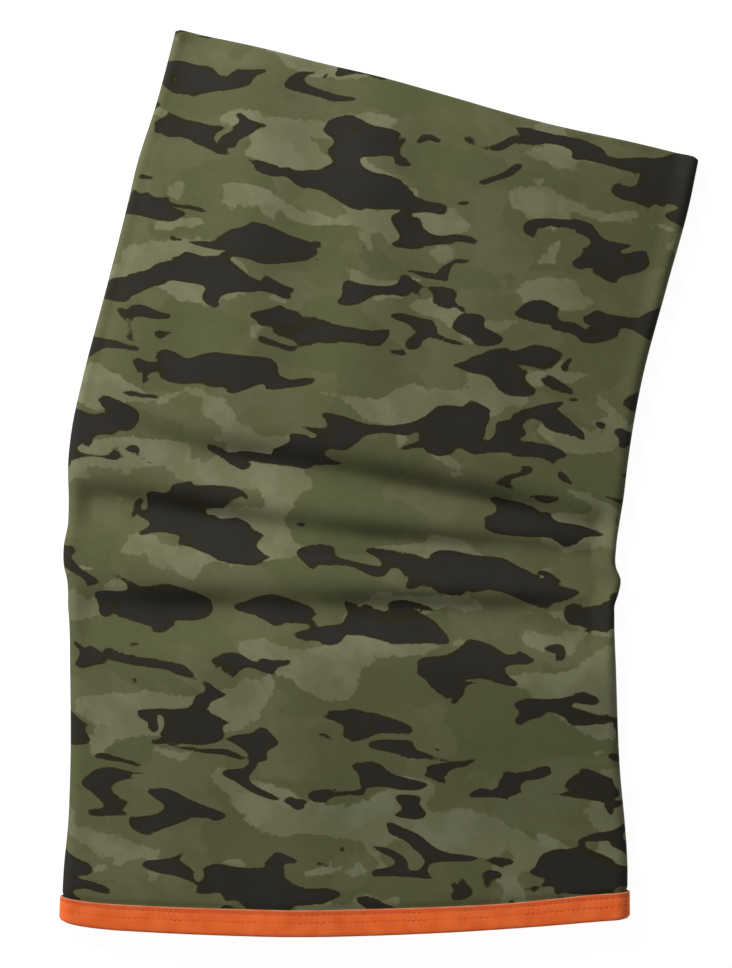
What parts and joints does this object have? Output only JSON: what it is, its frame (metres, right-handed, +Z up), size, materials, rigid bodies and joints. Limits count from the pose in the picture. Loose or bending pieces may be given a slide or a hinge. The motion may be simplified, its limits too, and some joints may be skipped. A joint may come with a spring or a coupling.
{
  "type": "neck gaiter",
  "caption": "Lined neck gaiter laid flat: camouflage-printed jersey tube with a forward lean, turned face edge and contrast bound hem.",
  "frame": {"origin": "centre of the laid-flat footprint, on the surface it rests on", "axes": "+X across the tube towards the side the face edge leans to; +Y along it from the hem to the face edge; +Z up off the surface, out of the front panel"},
  "size_m": [0.2706, 0.3835, 0.0185],
  "materials": {
    "camo_jersey": "matte brushed jersey, camouflage print",
    "lining_fleece": "matte brushed fleece",
    "orange_tape": "matte fine jersey tape",
    "orange_thread": "soft sheen thread",
    "dark_thread": "soft sheen thread",
    "label_satin": "woven satin, blank",
    "label_thread": "soft sheen thread"
  },
  "bodies": {
    "root": {"front_panel": "camo_jersey", "back_panel": "camo_jersey", "left_seam_overlock": "dark_thread", "right_seam_overlock": "dark_thread", "lining": "lining_fleece", "lining_seam_flatlock": "dark_thread", "face_edge_stitch": "dark_thread", "hem_binding": "orange_tape", "binding_needle_thread_upper": "orange_thread", "binding_needle_thread_lower": "orange_thread", "binding_cover_thread": "orange_thread", "binding_bartack": "orange_thread", "care_label": "label_satin", "care_label_stitch": "label_thread"}
  },
  "joints": []
}
